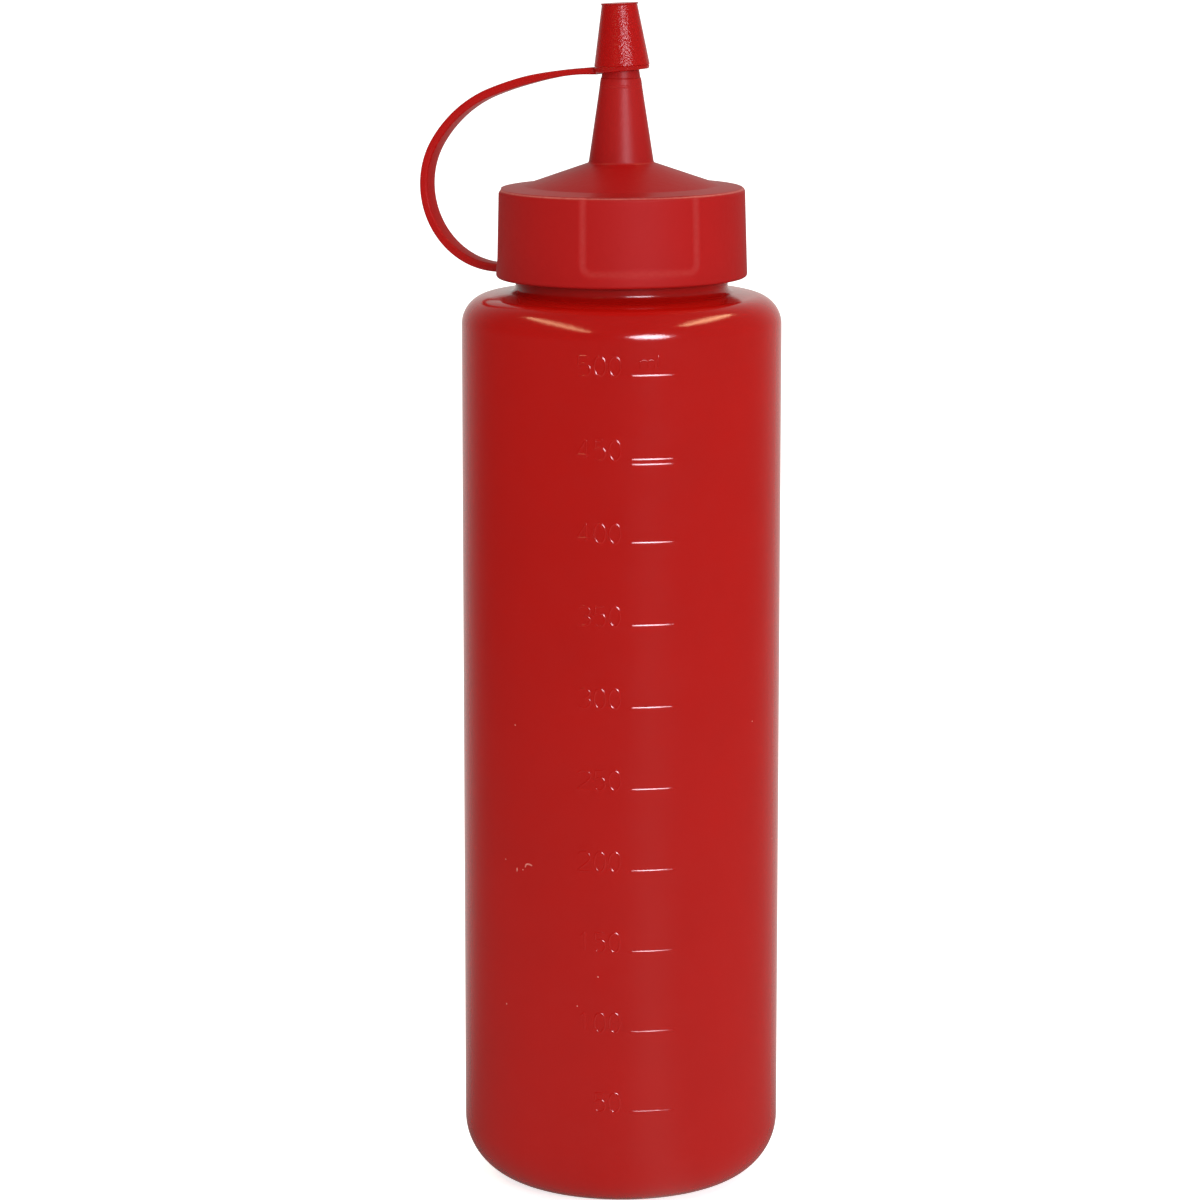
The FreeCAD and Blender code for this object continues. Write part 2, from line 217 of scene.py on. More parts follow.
# the scale: a line for each 50 ml, the second from the top drawn double
LINE_VOLUME = 50
LINE_STEP = LINE_VOLUME * 1000.0 / (math.pi * (BODY_RADIUS - BODY_WALL) ** 2)
SCALE_ZERO = 5.0
LINE_COUNT = 10
DOUBLE_LINE = LINE_COUNT - 2
DOUBLE_DROP = 1.0
LINE_CENTRE = 10.9
LINE_LENGTH = 9.9
LINE_WIDTH = 0.85
LINE_PROUD_TOP = 0.055
LINE_PROUD_FOOT = 0.066
DIGIT_HEIGHT = 3.9
UNIT_HEIGHT = 3.0
UNIT_RISE = 1.2
STROKE_WIDTH = 0.58
STROKE_PROUD = 0.068
# left and right sides, in degrees to the right of the front
DIGIT_SPOTS = ((-16.0, -11.3), (-9.9, -6.0), (-4.6, -0.7))
UNIT_SPOTS = {"m": (6.2, 11.5), "l": (12.7, 12.8)}
RIDGE_STEP = 0.14
RIDGE_POINTS = 11
RIDGE_SINK = 0.012
RIDGE_UNEVEN = 0.12


def oval(x0, y0, x1, y1, start, end, steps):
    """Points of an arc of the oval that fills a box."""
    angles = np.radians(np.linspace(start, end, steps))
    return [((x0 + x1) / 2 + (x1 - x0) / 2 * math.cos(a), (y0 + y1) / 2 + (y1 - y0) / 2 * math.sin(a))
            for a in angles]


# strokes of each figure in a box one wide and one high, as runs of points
FIGURES = {
    "0": [oval(0.0, 0.0, 1.0, 1.0, 90.0, 450.0, 30)],
    "1": [[(0.15, 0.78), (0.55, 1.0), (0.55, 0.0)]],
    "2": [oval(0.0, 0.42, 1.0, 1.0, 170.0, -40.0, 14) + [(0.0, 0.0), (1.0, 0.0)]],
    "3": [oval(0.02, 0.52, 0.96, 1.0, 160.0, -85.0, 14) + oval(0.0, 0.0, 1.0, 0.54, 85.0, -160.0, 16)],
    "4": [[(1.0, 0.26), (0.0, 0.26), (0.68, 1.0), (0.68, 0.0)]],
    "5": [[(0.95, 1.0), (0.12, 1.0), (0.04, 0.56)] + oval(0.0, 0.0, 1.0, 0.64, 130.0, -155.0, 18)],
    "m": [[(0.0, 0.0), (0.0, 0.62)] + oval(0.0, 0.3, 0.5, 0.66, 170.0, 0.0, 9) + [(0.5, 0.0)],
          [(0.5, 0.45)] + oval(0.5, 0.3, 1.0, 0.66, 170.0, 0.0, 9) + [(1.0, 0.0)]],
    "l": [[(0.0, 0.0), (0.0, 1.0)]],
}


def evenly(run, step):
    """The run with its points a step apart."""
    run = np.asarray(run, dtype=float)
    reach = np.concatenate(([0.0], np.cumsum(np.linalg.norm(np.diff(run, axis=0), axis=1))))
    spots = np.linspace(0.0, reach[-1], max(4, int(reach[-1] / step) + 1))
    return np.stack([np.interp(spots, reach, run[:, axis]) for axis in (0, 1)], axis=1), spots


def ridge(run, width, proud, closed=False):
    """Points and faces of a soft ridge on the bottle's wall, along a run of (arc length, height)."""
    run, spots = evenly(run, RIDGE_STEP)
    fade = ease(np.minimum(spots, spots[-1] - spots) / min(width, spots[-1] / 2))
    if closed:
        run, fade = run[:-1], np.ones(len(run) - 1)
        ahead = np.roll(run, -1, axis=0) - np.roll(run, 1, axis=0)
    else:
        ahead = np.gradient(run, axis=0)
    ahead = ahead / np.linalg.norm(ahead, axis=1)[:, None]
    side = np.stack((-ahead[:, 1], ahead[:, 0]), axis=1)
    shape = [(across, (1.0 + math.cos(math.pi * across)) / 2)
             for across in np.linspace(-1.0, 1.0, RIDGE_POINTS)]
    points, faces = [], []
    for index, (spot, share) in enumerate(zip(run, fade)):
        uneven = 1.0 + RIDGE_UNEVEN * math.sin(2.3 * index + spot[1])
        for across, rise in shape:
            aside, up = spot + side[index] * across * width / 2 * (0.5 + 0.5 * share)
            azimuth = aside / BODY_RADIUS - math.pi / 2
            reach = BODY_RADIUS - RIDGE_SINK + (proud * uneven + RIDGE_SINK) * share * rise
            points.append((reach * math.cos(azimuth), reach * math.sin(azimuth), up))
    count, size = len(run), len(shape)
    for index in range(count if closed else count - 1):
        here, there = index * size, (index + 1) % count * size
        for step in range(size - 1):
            faces.append((here + step, here + step + 1, there + step + 1, there + step))
        faces.append((here + size - 1, here, there, there + size - 1))
    if not closed:
        faces.append(tuple(range(size))[::-1])
        faces.append(tuple(range((count - 1) * size, count * size)))
    return points, faces


def gather(parts):
    """The points and faces of several ridges as one mesh."""
    points, faces = [], []
    for some_points, some_faces in parts:
        base = len(points)
        points.extend(some_points)
        faces.extend(tuple(base + spot for spot in face) for face in some_faces)
    return points, faces


def along(azimuth):
    """Arc length over the wall at degrees to the right of the front."""
    return math.radians(azimuth) * BODY_RADIUS


def write(figure, sides, foot, height):
    """Ridges of one figure that stands between two azimuths."""
    left, right = (along(side) for side in sides)
    return [ridge([(left + (right - left) * x, foot + height * y) for x, y in stroke],
                  STROKE_WIDTH, STROKE_PROUD, closed=figure == "0")
            for stroke in FIGURES[figure]]


def make_scale():
    """The lines with their numbers, and the unit over the top line."""
    middle = along(LINE_CENTRE)
    parts = []
    for index in range(LINE_COUNT):
        height = SCALE_ZERO + LINE_STEP * (index + 1)
        proud = LINE_PROUD_FOOT + (LINE_PROUD_TOP - LINE_PROUD_FOOT) * index / (LINE_COUNT - 1)
        for drop in (0.0, DOUBLE_DROP) if index == DOUBLE_LINE else (0.0,):
            ends = [(middle + side * LINE_LENGTH / 2, height - drop) for side in (-1.0, 1.0)]
            parts.append(ridge(ends, LINE_WIDTH, proud))
        digits = str(LINE_VOLUME * (index + 1))
        for digit, sides in zip(digits, DIGIT_SPOTS[-len(digits):]):
            parts += write(digit, sides, height, DIGIT_HEIGHT)
    for figure, sides in UNIT_SPOTS.items():
        parts += write(figure, sides, height + UNIT_RISE, UNIT_HEIGHT)
    points, faces = gather(parts)
    return add_mesh("volume_scale", points, faces)


# small nicks in the wall, each a run of (degrees to the right of the front, height)
NICKS = (
    ((-46.5, 71.0), (-46.1, 70.7)),
    ((-40.6, 69.7), (-40.7, 68.7)),
    ((-38.2, 69.4), (-37.6, 69.5)),
    ((-36.9, 69.9), (-36.6, 70.5), (-36.0, 70.75), (-34.9, 70.75), (-33.6, 70.5)),
    ((77.0, 71.4), (77.9, 71.2)),
    ((71.5, 72.4), (72.0, 72.1)),
    ((-41.5, 98.7), (-41.1, 98.4)),
    ((-46.2, 41.3), (-46.0, 40.9)),
    ((-16.2, 43.1), (-15.9, 42.8)),
    ((-8.6, 49.3), (-8.4, 49.0)),
    ((54.1, 98.3), (54.5, 98.1)),
)
NICK_WIDTH = 0.42
NICK_PROUD = 0.09


def make_nicks():
    """Short ridges whose tops are painted pale, for scuffed plastic and as a painted glint."""
    runs = [[(along(azimuth), height) for azimuth, height in nick] for nick in NICKS]
    points, faces = gather(ridge(run, NICK_WIDTH, NICK_PROUD) for run in runs)
    return add_mesh("wall_nicks", points, faces, wear_and_highlight=np.ones(len(points)))


# ---------------------------------------------------------------- the screw cap
# finger recesses: one stands a little to the right of the front, azimuths count from the strap
GRIP_COUNT = 3
GRIP_TURN = 360.0 / GRIP_COUNT
GRIP_MIDDLE = 90.0 + STRAP_TURN + 9.0
GRIP_HALF = 24.9
GRIP_DEPTH = 0.4
GRIP_FOOT = 3.85
GRIP_BORDER = 2.0
GRIP_CORNER = 0.9
GRIP_FINE_START = 23.9
GRIP_FINE_END = 30.4
# the skirt's outside lies farther out than this and no higher
SKIRT_INNER = CONE_RADIUS + 3.5
SKIRT_UPPER = SKIRT_HEIGHT + 0.02
# pale edges: the rim's, a little under its top, partly rubbing and partly a painted highlight, and the
# recesses' borders, which are rubbing
RIM_RUB_AND_HIGHLIGHT = 0.65
RIM_RUB_AND_HIGHLIGHT_HEIGHT = SKIRT_HEIGHT - 0.16
RIM_RUB_AND_HIGHLIGHT_HALF = 0.22
RIM_RUB_AND_HIGHLIGHT_INNER = SKIRT_TOP_RADIUS - 1.5
GRIP_WEAR = 0.27
# the ledge on the nozzle under the tip cap, and two faint rings below it
SEAT_DROP = 12.05
SEAT_STEP = 0.14
RING_DROPS = (1.75, 1.25)
RING_HALF = 0.14
RING_DEPTH = 0.012


def on_skirt(radius, height):
    """True on the skirt's outside, and false on the roof and in the socket."""
    return (radius > SKIRT_INNER) & (height < SKIRT_UPPER)


def grip_share(radius, height, around):
    """0 outside the finger recesses, 1 on their floors and between the two on their borders."""
    turned = (np.degrees(around) - GRIP_MIDDLE + GRIP_TURN / 2) % GRIP_TURN - GRIP_TURN / 2
    aside = SKIRT_RADIUS * np.radians(np.abs(turned) - GRIP_HALF) + GRIP_CORNER
    below = GRIP_FOOT - height + GRIP_CORNER
    outside = np.hypot(np.clip(aside, 0.0, None), np.clip(below, 0.0, None)) - GRIP_CORNER
    return np.where(on_skirt(radius, height), ease(1.0 - outside / GRIP_BORDER), 0.0)


def band(value, middle, half):
    """1 at the middle and 0 from half the width outwards."""
    return np.clip(1.0 - np.abs(value - middle) / half, 0.0, 1.0)


def cap_shape(radius, height, around):
    """Sink the recesses into the skirt."""
    return radius - GRIP_DEPTH * grip_share(radius, height, around), height


def cap_wear_and_highlight(radius, height, around):
    """The rim's edge is painted palest, partly as rubbing and partly as a painted highlight, and the borders
    of the recesses a little, as rubbing.
    """
    share = grip_share(radius, height, around)
    rim = band(height, RIM_RUB_AND_HIGHLIGHT_HEIGHT, RIM_RUB_AND_HIGHLIGHT_HALF) * (radius > RIM_RUB_AND_HIGHLIGHT_INNER)
    return np.maximum(RIM_RUB_AND_HIGHLIGHT * rim, GRIP_WEAR * share * (1.0 - share))


def nozzle_radius(height):
    """Radius of the nozzle's cone at a height over the skirt's foot."""
    return NOZZLE_RADIUS - (height - NOZZLE_FOOT) * NOZZLE_SLOPE


def make_screw_cap():
    """Socket, skirt, rim, cone and nozzle in one outline."""
    seat = NOZZLE_END - SEAT_DROP
    rings = []
    for drop in RING_DROPS:
        middle = seat - drop
        rings += [(nozzle_radius(middle) - depth, middle + rise, 0.05)
                  for rise, depth in ((-RING_HALF, 0.0), (0.0, RING_DEPTH), (RING_HALF, 0.0))]
    line = filled(rounded((
        (0.0, SOCKET_DEPTH),
        (SOCKET_RADIUS, SOCKET_DEPTH, 0.5),
        (SOCKET_RADIUS, 0.0, 0.3),
        (SKIRT_RADIUS, 0.0, 0.6),
        (SKIRT_TOP_RADIUS, SKIRT_HEIGHT, RIM_ROUND),
        (CONE_RADIUS, CONE_FOOT, 0.8),
        (NOZZLE_RADIUS, NOZZLE_FOOT, 0.6),
        *rings,
        (nozzle_radius(seat), seat, 0.06),
        (nozzle_radius(seat) - SEAT_STEP, seat + 0.2, 0.06),
        (nozzle_radius(NOZZLE_END) - SEAT_STEP, NOZZLE_END, 0.3),
        (0.0, NOZZLE_END),
    )), 0.5)
    borders = np.linspace(GRIP_FINE_START, GRIP_FINE_END, 15)
    azimuths = np.unique(np.concatenate([
        even(180),
        *[(GRIP_MIDDLE + GRIP_TURN * grip + side * borders) % 360.0
          for grip in range(GRIP_COUNT) for side in (-1.0, 1.0)],
    ]).round(3))
    return lathe("screw_cap_shell", line, azimuths, CAP_PLACE, cap_shape, cap_wear_and_highlight)


# ---------------------------------------------------------------- the tip cap and its strap
TIP_ROOF = 2.6
TIP_WALL_TOP = 1.3
TIP_WALL_FOOT = 1.55
TIP_LIP = 0.3


def make_tip_cap():
    """A hollow cone with a lip at its top, a crease at its foot and a collar below."""
    half = TIP_HEIGHT / 2
    top_radius = TIP_FOOT_RADIUS - TIP_HEIGHT * NOZZLE_SLOPE
    line = filled(rounded((
        (0.0, half - TIP_ROOF),
        (top_radius - TIP_WALL_TOP, half - TIP_ROOF, 0.3),
        (TIP_FOOT_RADIUS - TIP_WALL_FOOT, -half - COLLAR_HEIGHT + 0.02, 0.15),
        (TIP_FOOT_RADIUS - 0.04, -half - COLLAR_HEIGHT, 0.25),
        (TIP_FOOT_RADIUS + 0.08, -half - 0.16, 0.05),
        (TIP_FOOT_RADIUS - 0.04, -half - 0.02, 0.04),
        (TIP_FOOT_RADIUS + 0.12, -half + 0.14, 0.06),
        (top_radius, half - 0.4, 0.2),
        (top_radius + TIP_LIP, half, 0.12),
        (0.0, half),
    )), 0.7)

    def lean_collar(radius, height, around):
        """The collar hangs lower on the strap's side."""
        share = np.clip((-half - height) / COLLAR_HEIGHT + 0.15, 0.0, 1.0)
        drop = radius * np.cos(around) * math.tan(math.radians(COLLAR_LEAN - TIP_LEAN))
        return radius, height - share * drop

    return lathe("tip_cap_shell", line, even(128), TIP_PLACE, lean_collar)


STRAP_LEAD = 1.8
STRAP_WIDTH = 4.05
STRAP_THICKNESS = 1.7
STRAP_MID_RADIUS = 26.3
STRAP_SWEEPS = (123.0, 35.8, 19.7)
STRAP_STEPS = (56, 20, 16)
STRAP_EDGE = 0.45
# thickness on the upper run by the distance from the cap's axis
STRAP_REACHES = (5.5, 8.2, 13.0, 20.0)
STRAP_THICKNESSES = (1.42, 1.2, 1.3, STRAP_THICKNESS)


def arc_points(start, heading, radius, sweep, steps):
    """Points after start of an arc that turns left, in the strap's plane."""
    centre = start + radius * np.array((-math.sin(heading), math.cos(heading)))
    angles = heading - math.pi / 2 + sweep * np.arange(1, steps + 1) / steps
    return centre + radius * np.stack((np.cos(angles), np.sin(angles)), axis=1)


def strap_line():
    """Middle line of the strap in its plane, from inside the skirt to inside the collar."""
    foot = STRAP_THICKNESS / 2
    lead_end = np.array((SKIRT_RADIUS + STRAP_LEAD, foot))
    collar_radius = TIP_FOOT_RADIUS + 0.15
    finish = np.array((collar_radius - 1.0, COLLAR_TOP - COLLAR_HEIGHT / 2
                       - collar_radius * math.sin(math.radians(COLLAR_LEAN))))
    sweeps = [math.radians(sweep) for sweep in STRAP_SWEEPS]
    unit, heading = [], 0.0
    for sweep in sweeps:
        unit.append(arc_points(np.zeros(2), heading, 1.0, sweep, 1)[0])
        heading += sweep
    rest = finish - lead_end - unit[1] * STRAP_MID_RADIUS
    low, top = np.linalg.solve(np.stack((unit[0], unit[2]), axis=1), rest)
    spots = [np.array((SKIRT_RADIUS - 0.6, foot)), np.array((SKIRT_RADIUS + 0.5, foot)), lead_end]
    heading = 0.0
    for radius, sweep, steps in zip((low, STRAP_MID_RADIUS, top), sweeps, STRAP_STEPS):
        spots.extend(arc_points(spots[-1], heading, radius, sweep, steps))
        heading += sweep
    return np.array(spots)


def strap_thickness(reach):
    """The strap thins towards the collar; reach is the distance from the cap's axis."""
    return np.interp(reach, STRAP_REACHES, STRAP_THICKNESSES)


def make_strap():
    """A flat band with rounded edges, swept along the strap's line."""
    line = strap_line()
    ahead = np.gradient(line, axis=0)
    ahead /= np.linalg.norm(ahead, axis=1)[:, None]
    out = np.stack((ahead[:, 1], -ahead[:, 0]), axis=1)
    rising = np.arange(len(line)) > len(line) // 2
    ring = []
    for quarter, (side_x, side_y) in enumerate(((1, 1), (-1, 1), (-1, -1), (1, -1))):
        for angle in np.radians(90.0 * quarter + np.linspace(0.0, 90.0, 5)):
            ring.append((side_x, side_y, math.cos(angle), math.sin(angle)))
    points, faces = [], []
    for spot, normal, upper in zip(line, out, rising):
        thick = strap_thickness(spot[0]) if upper else STRAP_THICKNESS
        edge = min(STRAP_EDGE, thick / 2 - 0.05)
        for side_x, side_y, cosine, sine in ring:
            across = side_x * (STRAP_WIDTH / 2 - edge) + cosine * edge
            through = side_y * (thick / 2 - edge) + sine * edge
            x, z = spot + normal * through
            points.append((x, across, z))
    size = len(ring)
    for row in range(len(line) - 1):
        for step in range(size):
            after = (step + 1) % size
            low, high = row * size, (row + 1) * size
            faces.append((low + step, high + step, high + after, low + after))
    faces.append(tuple(range(size)))
    faces.append(tuple(range((len(line) - 1) * size, len(line) * size))[::-1])
    return add_mesh("tip_strap", points, faces, CAP_PLACE)


# ---------------------------------------------------------------- materials
def srgb(red, green, blue):
    """Linear colour from red, green and blue of 0 to 255."""
    def linear(value):
        value /= 255.0
        return value / 12.92 if value <= 0.04045 else ((value + 0.055) / 1.055) ** 2.4
    return (linear(red), linear(green), linear(blue), 1.0)


class Graph:
    """A node tree built with short calls; each input is a socket or a plain value."""

    def __init__(self, tree):
        self.nodes, self.links = tree.nodes, tree.links

    def feed(self, socket, value):
        """Link a socket or set a plain value."""
        if isinstance(value, bpy.types.NodeSocket):
            self.links.new(value, socket)
        else:
            socket.default_value = value

    def add(self, kind, inputs, **settings):
        node = self.nodes.new("ShaderNode" + kind)
        for name, value in settings.items():
            setattr(node, name, value)
        for key, value in inputs.items():
            self.feed(node.inputs[key], value)
        return node

    def math(self, operation, first, second, clamp=False):
        return self.add("Math", {0: first, 1: second}, operation=operation, use_clamp=clamp).outputs[0]

    def vector(self, operation, first, second=(0.0, 0.0, 0.0)):
        return self.add("VectorMath", {0: first, 1: second}, operation=operation).outputs["Value"]

    def spread(self, value, low, high, start=0.0, end=1.0):
        """Take start to end over to low to high, and no farther."""
        inputs = {"Value": value, "From Min": start, "From Max": end, "To Min": low, "To Max": high}
        return self.add("MapRange", inputs).outputs[0]

    def noise(self, place, scale):
        return self.add("TexNoise", {"Vector": place, "Scale": scale, "Detail": 3.0}).outputs["Fac"]

    def blend(self, share, first, second):
        """Mix two colours: the first at 0, the second at 1."""
        return self.add("Mix", {0: share, 6: first, 7: second}, data_type="RGBA").outputs[2]


# noise: how fine it is, and how much the tone and the roughness change with it
TONE_SCALE = 60.0
TONE_CHANGE = 0.05
GLOSS_SCALE = 220.0
GLOSS_CHANGE = 0.03
RUB_AND_HIGHLIGHT_SCALE = 1100.0
# the height over which a plastic's gloss goes over into another
CHANGE_HEIGHT = 0.8 * MM


def plastic(name, colour, roughness, specular=0.5, grain=0.02, fine=900.0, rub_and_highlight_colour=None, below=None,
            chalky=0.0):
    """Moulded plastic: a slow change of tone and gloss, a fine grain and, where asked, pale patches for
    rubbing and for painted highlights.

    below is (height, roughness, specular) for the part of the piece under a height.
    """
    material = bpy.data.materials.new(name)
    material.use_nodes = True
    graph = Graph(material.node_tree)
    place = graph.add("TexCoord", {}).outputs["Object"]

    darker, lighter = (tuple(channel * share for channel in colour[:3]) + (1.0,)
                       for share in (1.0 - TONE_CHANGE, 1.0 + TONE_CHANGE))
    shade = graph.blend(graph.noise(place, TONE_SCALE), darker, lighter)
    if rub_and_highlight_colour is not None:
        rub_and_highlight = graph.add("Attribute", {}, attribute_name=WEAR_AND_HIGHLIGHT).outputs["Fac"]
        patchy = graph.spread(graph.noise(place, RUB_AND_HIGHLIGHT_SCALE), 0.45, 0.8, 0.3, 0.7)
        shade = graph.blend(graph.math("MULTIPLY", rub_and_highlight, patchy), shade, rub_and_highlight_colour)

    gloss = graph.spread(graph.noise(place, GLOSS_SCALE), roughness - GLOSS_CHANGE, roughness + GLOSS_CHANGE)
    if below is not None:
        height, low_roughness, low_specular = below
        start = height - CHANGE_HEIGHT
        level = graph.add("SeparateXYZ", {0: place}).outputs["Z"]
        gloss = graph.math("ADD", gloss, graph.spread(level, low_roughness - roughness, 0.0, start, height))
        specular = graph.spread(level, low_specular, specular, start, height)

    bump = graph.add("Bump", {"Height": graph.noise(place, fine), "Strength": grain, "Distance": 0.001})
    shader = graph.nodes["Principled BSDF"]
    for socket, value in (("Base Color", shade), ("Roughness", gloss), ("Normal", bump.outputs[0]),
                          ("Specular IOR Level", specular), ("Diffuse Roughness", chalky)):
        graph.feed(shader.inputs[socket], value)
    return material


def dress(piece, node_names, material):
    """Give a piece its material, hang it from the root, and hide the solids it replaces."""
    piece.data.materials.append(material)
    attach(piece, "root")
    if node_names:
        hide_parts(*node_names)


SKIRT_END = (CAP_FOOT + SKIRT_HEIGHT) * MM
NECK_START = (NECK_FOOT + 1.6) * MM
# pale colour of rubbing, also used as a painted highlight on the cap's rim and a painted glint on the nicks
PALE_RUB_AND_HIGHLIGHT = srgb(226, 150, 138)

body_red = plastic("bottle_red", srgb(170, 14, 8), 0.24, specular=0.2, rub_and_highlight_colour=PALE_RUB_AND_HIGHLIGHT,
                   below=(NECK_START, 0.13, 1.0), chalky=0.5)
cap_red = plastic("cap_red", srgb(162, 9, 8), 0.40, specular=0.34, grain=0.04, rub_and_highlight_colour=PALE_RUB_AND_HIGHLIGHT,
                  below=(SKIRT_END, 0.55, 0.2))
tip_red = plastic("tip_red", srgb(161, 10, 8), 0.2, grain=0.17, fine=2300.0)
strap_red = plastic("strap_red", srgb(170, 10, 8), 0.42, specular=0.18, grain=0.05)

dress(make_bottle(), ["bottle"], body_red)
dress(make_scale(), [], body_red)
dress(make_nicks(), [], body_red)
dress(make_screw_cap(), ["screw_cap"], cap_red)
dress(make_tip_cap(), ["tip_cap"], tip_red)
dress(make_strap(), [], strap_red)


# ---------------------------------------------------------------- floor, light and camera
WHITE = (1.0, 1.0, 1.0, 1.0)
# what reflections show of the room: its colour and how bright it is
GLOSS_COLOUR = (1.0, 0.92, 0.88, 1.0)
GLOSS_FRONT = 0.05
GLOSS_BACK = 0.7
GLOSS_POWER = 3.5
GLOSS_RIGHT = 0.05
FLOOR_HALF = 8.0
FLOOR_COLOUR = (0.9, 0.9, 0.9, 1.0)
FLOOR_WHITE = 0.75
FLOOR_FILL = 0.18
# a painted pool of light on the floor near the object, seen only in reflections: its reach and brightness
NEAR_REACH = 0.7
NEAR_GLOSS = 0.09
# the key light stands at degrees to the right of the front and above the aim, in metres
KEY_AZIMUTH = 20.0
KEY_ELEVATION = 13.0
KEY_DISTANCE = 1.5
# a painted reflection of the key on the floor, seen only in reflections: its brightness, reach and
# narrowness
TRAIL_GLOSS = 0.11
TRAIL_REACH = 1.4
TRAIL_POWER = 31.0
# the fill grows to the right and upwards, from low to high
FILL_TILT = (0.85, 0.0, 1.8)
FILL_LOW = 0.04
FILL_HIGH = 0.87


def soft_gloss(graph, place, length):
    """How bright reflections are: dim in front, a little brighter on the right, bright behind."""
    split = graph.add("SeparateXYZ", {0: place}).outputs
    behind = graph.math("POWER", graph.math("DIVIDE", split["Y"], length, clamp=True), GLOSS_POWER)
    right = graph.math("MULTIPLY", graph.math("DIVIDE", split["X"], length, clamp=True), GLOSS_RIGHT)
    return graph.math("ADD", graph.spread(behind, GLOSS_FRONT, GLOSS_BACK), right)


def choose(graph, surface, plain, glossy, clear):
    """What plain rays, reflections, and rays looked along straight or through something clear meet."""
    path = graph.add("LightPath", {}).outputs
    look = graph.math("MAXIMUM", path["Is Camera Ray"], path["Is Transmission Ray"])
    first = graph.add("MixShader", {0: path["Is Glossy Ray"], 1: plain, 2: glossy}).outputs[0]
    last = graph.add("MixShader", {0: look, 1: first, 2: clear}).outputs[0]
    graph.feed(surface, last)


def make_floor():
    """A white floor whose reflection is brighter near the object and along the line towards the key."""
    mesh = bpy.data.meshes.new("floor")
    corners = [(x * FLOOR_HALF, y * FLOOR_HALF, 0.0) for x, y in ((-1, -1), (1, -1), (1, 1), (-1, 1))]
    mesh.from_pydata(corners, [], [(0, 1, 2, 3)])
    floor = bpy.data.objects.new("floor", mesh)
    bpy.context.scene.collection.objects.link(floor)
    material = bpy.data.materials.new("floor_white")
    material.use_nodes = True
    graph = Graph(material.node_tree)
    graph.nodes.clear()
    place = graph.add("NewGeometry", {}).outputs["Position"]
    length = graph.vector("LENGTH", place)

    # painted pool of light near the object, seen in reflections
    near = graph.math("MULTIPLY", graph.spread(length, 1.0, 0.0, 0.0, NEAR_REACH), NEAR_GLOSS)
    # painted reflection of the key along the line towards it, seen in reflections
    turn = math.radians(KEY_AZIMUTH)
    to_key = graph.vector("DOT_PRODUCT", place, (math.sin(turn), -math.cos(turn), 0.0))
    trail = graph.math("POWER", graph.math("DIVIDE", to_key, length, clamp=True), TRAIL_POWER)
    trail = graph.math("MULTIPLY", trail, graph.spread(length, TRAIL_GLOSS, 0.0, 0.0, TRAIL_REACH))
    gloss = graph.math("ADD", soft_gloss(graph, place, length), graph.math("ADD", near, trail))

    diffuse = graph.add("BsdfDiffuse", {"Color": FLOOR_COLOUR}).outputs[0]

    def glowing(strength):
        light = graph.add("Emission", {"Color": WHITE, "Strength": strength}).outputs[0]
        return graph.add("AddShader", {0: diffuse, 1: light}).outputs[0]

    sheen = graph.add("Emission", {"Color": GLOSS_COLOUR, "Strength": gloss}).outputs[0]
    output = graph.add("OutputMaterial", {})
    choose(graph, output.inputs["Surface"], glowing(FLOOR_FILL), sheen, glowing(FLOOR_WHITE))
    mesh.materials.append(material)


def make_world():
    """A plain soft fill that is darker on the left and brighter above, in front of a white background."""
    world = bpy.data.worlds.new("studio")
    bpy.context.scene.world = world
    world.use_nodes = True
    graph = Graph(world.node_tree)
    graph.nodes.clear()
    direction = graph.add("TexCoord", {}).outputs["Generated"]
    tilt = graph.vector("DOT_PRODUCT", direction, FILL_TILT)

    def ground(colour, strength):
        return graph.add("Background", {"Color": colour, "Strength": strength}).outputs[0]

    output = graph.add("OutputWorld", {})
    choose(graph, output.inputs["Surface"],
           ground(WHITE, graph.spread(tilt, FILL_LOW, FILL_HIGH, -1.0, FILL_TILT[2])),
           ground(GLOSS_COLOUR, soft_gloss(graph, direction, graph.vector("LENGTH", direction))),
           ground(WHITE, 1.0))


LAMP_AIM = Vector((0.0, 0.0, 0.15))


def add_lamp(name, place, width, height, power, colour):
    """A soft oval light at a place, aimed at the bottle."""
    lamp = bpy.data.lights.new(name, "AREA")
    lamp.shape = "ELLIPSE"
    lamp.size, lamp.size_y = width, height
    lamp.energy = power
    lamp.color = colour
    holder = bpy.data.objects.new(name, lamp)
    holder.location = place
    holder.rotation_euler = (LAMP_AIM - holder.location).to_track_quat("-Z", "Y").to_euler()
    bpy.context.scene.collection.objects.link(holder)
    return holder


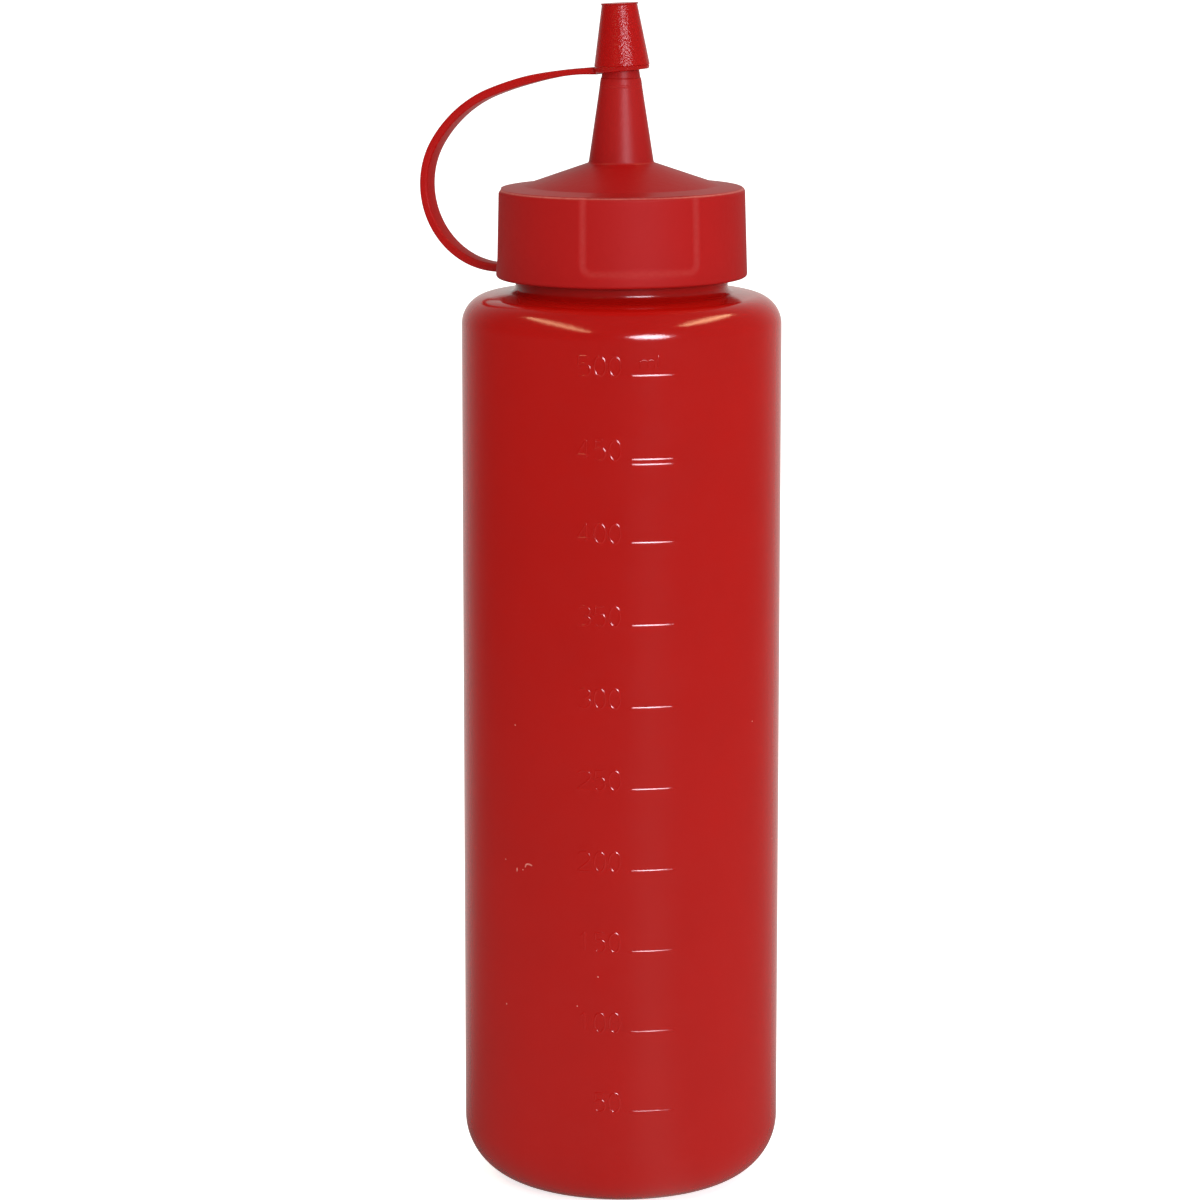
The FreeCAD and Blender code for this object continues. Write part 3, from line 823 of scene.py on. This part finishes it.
def toward(azimuth, elevation, distance):
    """A place at degrees to the right of the front and above the aim."""
    turn, rise = math.radians(azimuth), math.radians(elevation)
    return LAMP_AIM + distance * Vector((
        math.sin(turn) * math.cos(rise), -math.cos(turn) * math.cos(rise), math.sin(rise)))


CAMERA_PLACE = (-4.329 * MM, -918.33 * MM, 283.88 * MM)
CAMERA_DOWN = 10.155
CAMERA_LENS = 138.354


def make_camera():
    """One view from the front, a little from above."""
    camera = bpy.data.cameras.new("view")
    camera.lens = CAMERA_LENS
    camera.sensor_width = 36.0
    camera.sensor_fit = "HORIZONTAL"
    holder = bpy.data.objects.new("view", camera)
    holder.location = CAMERA_PLACE
    holder.rotation_euler = (math.radians(90.0 - CAMERA_DOWN), 0.0, 0.0)
    bpy.context.scene.collection.objects.link(holder)
    bpy.context.scene.camera = holder


# a lamp that is brightest in its middle is made of layers, each a little in front of the last
LAYER_GAP = 0.01
# the key: (width, height, glow) of each layer
KEY_LAYERS = ((0.80, 0.40, 9.8), (0.50, 0.26, 4.4), (0.30, 0.16, 2.2))
KEY_COLOUR = (1.0, 0.84, 0.95)
# two warm strips overhead: (x, y, length, power), and (width, share of the power) of their layers
CEILING_STRIPS = ((-1.0, -0.9, 2.6, 7.0), (1.05, 0.0, 1.6, 5.8))
STRIP_LAYERS = ((0.38, 0.6), (0.15, 0.4))
STRIP_COLOUR = (1.0, 0.67, 0.37)
STRIP_HEIGHT = 1.45


def make_lamps():
    """The key from the right of the front, and the strips overhead on both sides."""
    for index, (width, height, glow) in enumerate(KEY_LAYERS):
        place = toward(KEY_AZIMUTH, KEY_ELEVATION, KEY_DISTANCE - LAYER_GAP * index)
        power = glow * math.pi * (math.pi / 4 * width * height)
        add_lamp("key", place, width, height, power, KEY_COLOUR)
    for x, y, length, power in CEILING_STRIPS:
        for index, (width, share) in enumerate(STRIP_LAYERS):
            place = Vector((x, y, STRIP_HEIGHT - LAYER_GAP * index))
            strip = add_lamp("ceiling_strip", place, width, length, power * share, STRIP_COLOUR)
            strip.rotation_euler = (0.0, math.atan2(x, STRIP_HEIGHT - LAMP_AIM.z), 0.0)


make_floor()
make_world()
make_lamps()
make_camera()
bpy.context.scene.view_settings.view_transform = "Standard"
